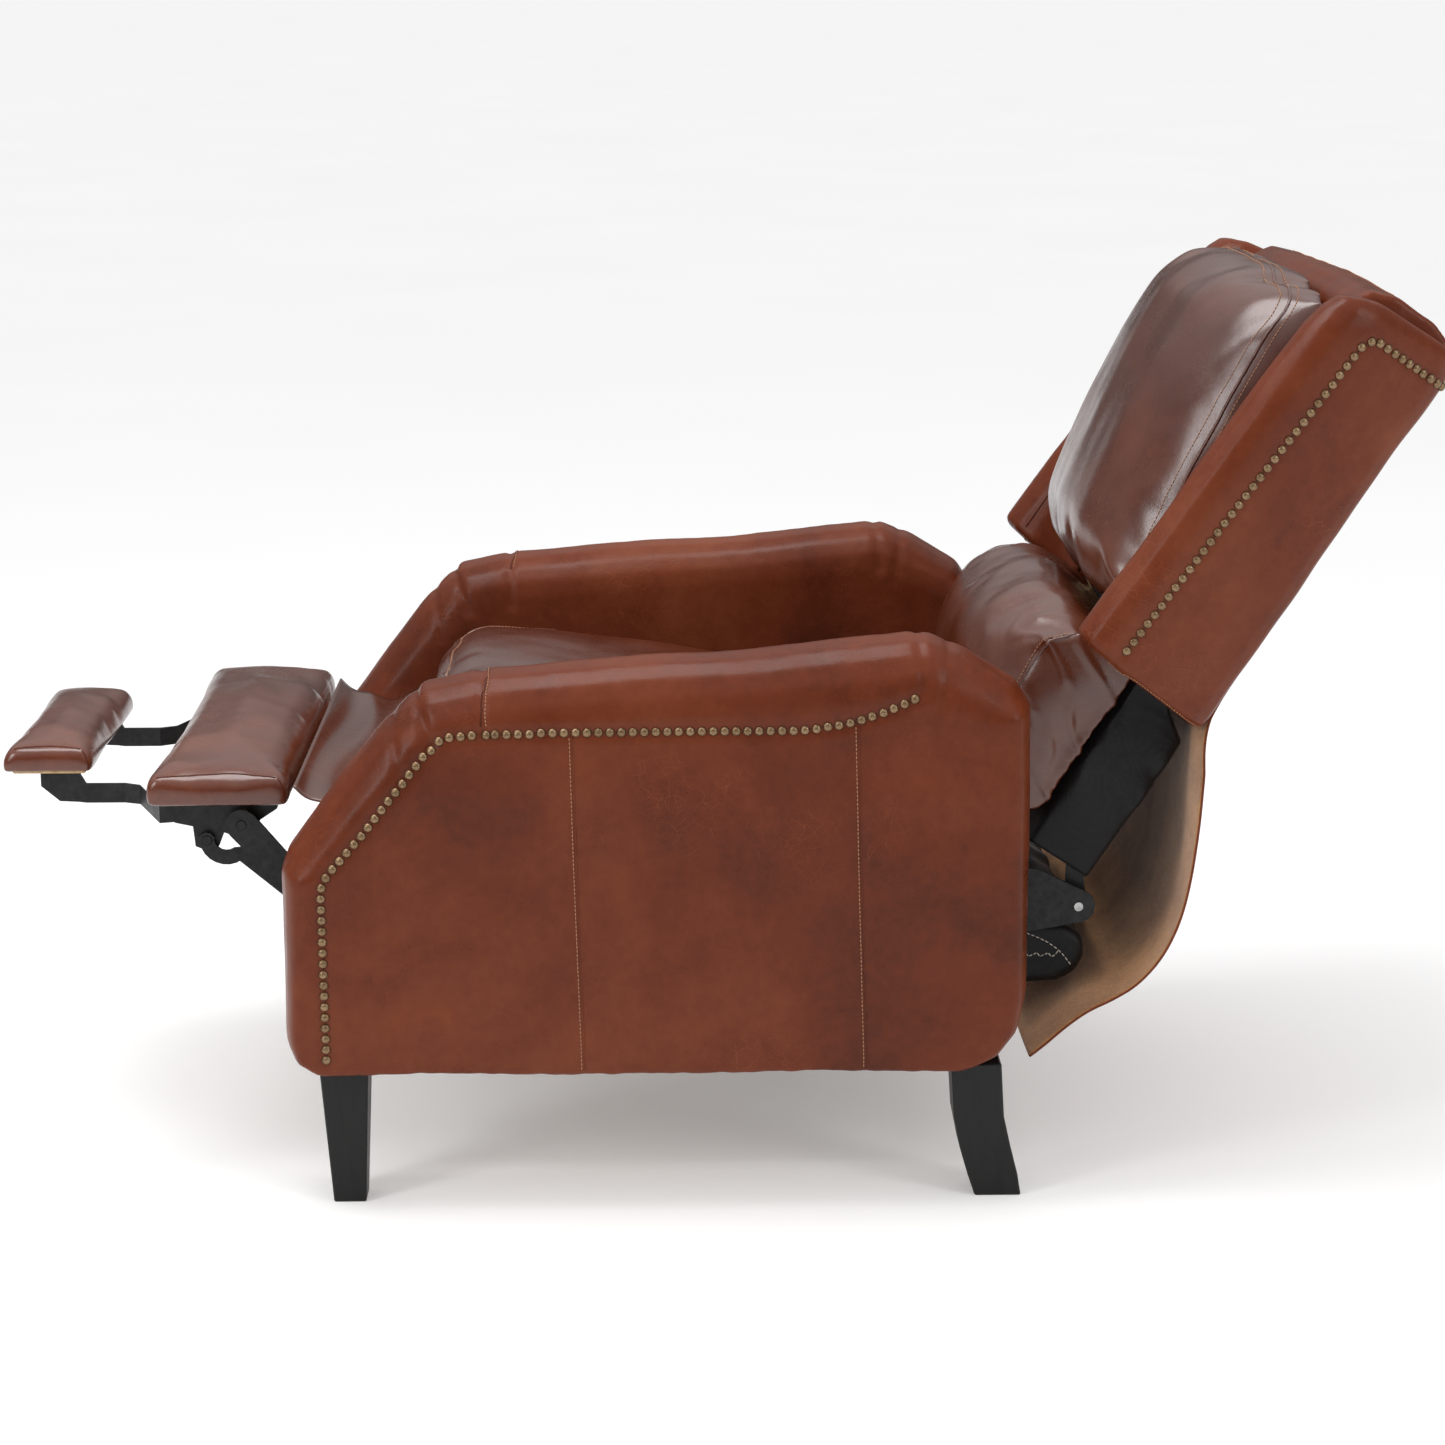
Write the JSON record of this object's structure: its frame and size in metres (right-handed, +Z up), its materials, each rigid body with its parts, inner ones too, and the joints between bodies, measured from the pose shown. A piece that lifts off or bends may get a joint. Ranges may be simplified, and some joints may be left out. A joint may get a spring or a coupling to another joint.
{
  "type": "recliner armchair",
  "caption": "Push-back recliner armchair with winged back, sloped rolled arms, nailhead trim, tapered legs and a folding footrest with flipper pad.",
  "frame": {"origin": "on the floor, under the middle of the chair's bounding box as modelled, fully reclined with the footrest out", "axes": "+Z up, +Y towards the back of the chair (its length when reclined), +X to the sitter's left"},
  "size_m": [0.776, 1.5286, 0.9621],
  "materials": {
    "outer_leather": "antiqued semi-gloss",
    "cushion_leather": "antiqued semi-gloss",
    "flap_leather": "semi-gloss outside, suede inside",
    "nail_brass": "antique",
    "black_steel": "satin black",
    "spring_steel": "satin",
    "pin_steel": "plain",
    "leg_wood": "ebonised satin",
    "frame_wood": "bare",
    "black_cambric": "matt"
  },
  "bodies": {
    "base": {"arm_cover_left": "outer_leather", "arm_cover_right": "outer_leather", "arm_frame_left": "frame_wood", "arm_frame_right": "frame_wood", "front_leg_left": "leg_wood", "front_leg_right": "leg_wood", "rear_leg_left": "leg_wood", "rear_leg_right": "leg_wood", "front_cross_rail": "frame_wood", "rear_cross_rail": "frame_wood", "mechanism_base_left": "black_steel", "mechanism_base_right": "black_steel", "arm_nail_trim_left": "nail_brass", "arm_nail_trim_right": "nail_brass", "rear_flap": "flap_leather"},
    "front_swing": {"front_swing_link_left": "black_steel", "front_swing_link_right": "black_steel"},
    "rear_swing": {"rear_swing_link_left": "black_steel", "rear_swing_link_right": "black_steel"},
    "seat": {"seat_side_plate_left": "black_steel", "seat_side_plate_right": "black_steel", "seat_side_rail_left": "frame_wood", "seat_side_rail_right": "frame_wood", "seat_front_rail": "frame_wood", "seat_rear_rail": "frame_wood", "seat_springs": "spring_steel", "seat_cushion": "cushion_leather", "seat_dust_cover": "black_cambric", "footrest_web": "cushion_leather"},
    "back": {"back_frame": "frame_wood", "back_bracket_left": "black_steel", "back_bracket_right": "black_steel", "back_hinge_pin_left": "pin_steel", "back_hinge_pin_right": "pin_steel", "lower_back_cover": "black_cambric", "wing_left": "outer_leather", "wing_right": "outer_leather", "outside_back": "outer_leather", "back_cushion": "cushion_leather", "lumbar_cushion": "cushion_leather", "wing_nail_trim_left": "nail_brass", "wing_nail_trim_right": "nail_brass", "back_nail_trim": "nail_brass"},
    "rear_links": {"rear_link_left": "black_steel", "rear_link_right": "black_steel"},
    "front_links": {"front_link_left": "black_steel", "front_link_right": "black_steel"},
    "control_links": {"control_link_left": "black_steel", "control_link_right": "black_steel"},
    "hook_links": {"hook_link_left": "black_steel", "hook_link_right": "black_steel"},
    "footrest": {"footrest_bracket_left": "black_steel", "footrest_bracket_right": "black_steel", "footrest_board": "frame_wood", "footrest_pad": "cushion_leather"},
    "flipper": {"flipper_bar_left": "black_steel", "flipper_bar_right": "black_steel", "flipper_board": "frame_wood", "flipper_pad": "cushion_leather"}
  },
  "joints": [
    {"name": "rear_swing_hinge", "type": "hinge", "parent": "base", "child": "rear_swing", "pos_m": [0, 0.1672, 0.185], "axis": [1, 0, 0], "range_deg": [0, 37.6], "deforming": ["rear_flap", "footrest_web"]},
    {"name": "front_swing_hinge", "type": "hinge", "parent": "base", "child": "front_swing", "pos_m": [0, -0.1528, 0.185], "axis": [1, 0, 0], "range_deg": [0, 37.7]},
    {"name": "seat_hinge", "type": "hinge", "parent": "rear_swing", "child": "seat", "pos_m": [0, 0.23061, 0.27489], "axis": [1, 0, 0], "range_deg": [-37.7, 0]},
    {"name": "back_recline_hinge", "type": "hinge", "parent": "seat", "child": "back", "pos_m": [0, 0.3982, 0.291], "axis": [1, 0, 0], "range_deg": [0, 13.6]},
    {"name": "rear_link_hinge", "type": "hinge", "parent": "seat", "child": "rear_links", "pos_m": [0, -0.227, 0.184], "axis": [1, 0, 0], "range_deg": [-81.7, 0]},
    {"name": "front_link_hinge", "type": "hinge", "parent": "rear_links", "child": "front_links", "pos_m": [0, -0.3925, 0.2674], "axis": [1, 0, 0], "range_deg": [0, 161.4]},
    {"name": "control_link_hinge", "type": "hinge", "parent": "rear_links", "child": "control_links", "pos_m": [0, -0.3925, 0.2674], "axis": [1, 0, 0], "range_deg": [0, 156.9]},
    {"name": "footrest_hinge", "type": "hinge", "parent": "front_links", "child": "footrest", "pos_m": [0, -0.4928, 0.383], "axis": [1, 0, 0], "range_deg": [0, 10.6]},
    {"name": "hook_link_hinge", "type": "hinge", "parent": "footrest", "child": "hook_links", "pos_m": [0, -0.5318, 0.363], "axis": [1, 0, 0], "range_deg": [0, 9.95]},
    {"name": "flipper_hinge", "type": "hinge", "parent": "footrest", "child": "flipper", "pos_m": [0, -0.5548, 0.39], "axis": [1, 0, 0], "range_deg": [0, 90.2]}
  ],
  "couplings": [
    {"joint": "front_swing_hinge", "follows": "rear_swing_hinge", "ratio": 1},
    {"joint": "seat_hinge", "follows": "rear_swing_hinge", "ratio": -1},
    {"joint": "back_recline_hinge", "follows": "rear_swing_hinge", "ratio": 0.35904},
    {"joint": "rear_link_hinge", "follows": "rear_swing_hinge", "ratio": -2.1672},
    {"joint": "front_link_hinge", "follows": "rear_swing_hinge", "ratio": 4.2847},
    {"joint": "control_link_hinge", "follows": "rear_swing_hinge", "ratio": 4.1656},
    {"joint": "footrest_hinge", "follows": "rear_swing_hinge", "ratio": 0.27616},
    {"joint": "hook_link_hinge", "follows": "rear_swing_hinge", "ratio": 0.25953},
    {"joint": "flipper_hinge", "follows": "rear_swing_hinge", "ratio": 2.3936}
  ]
}
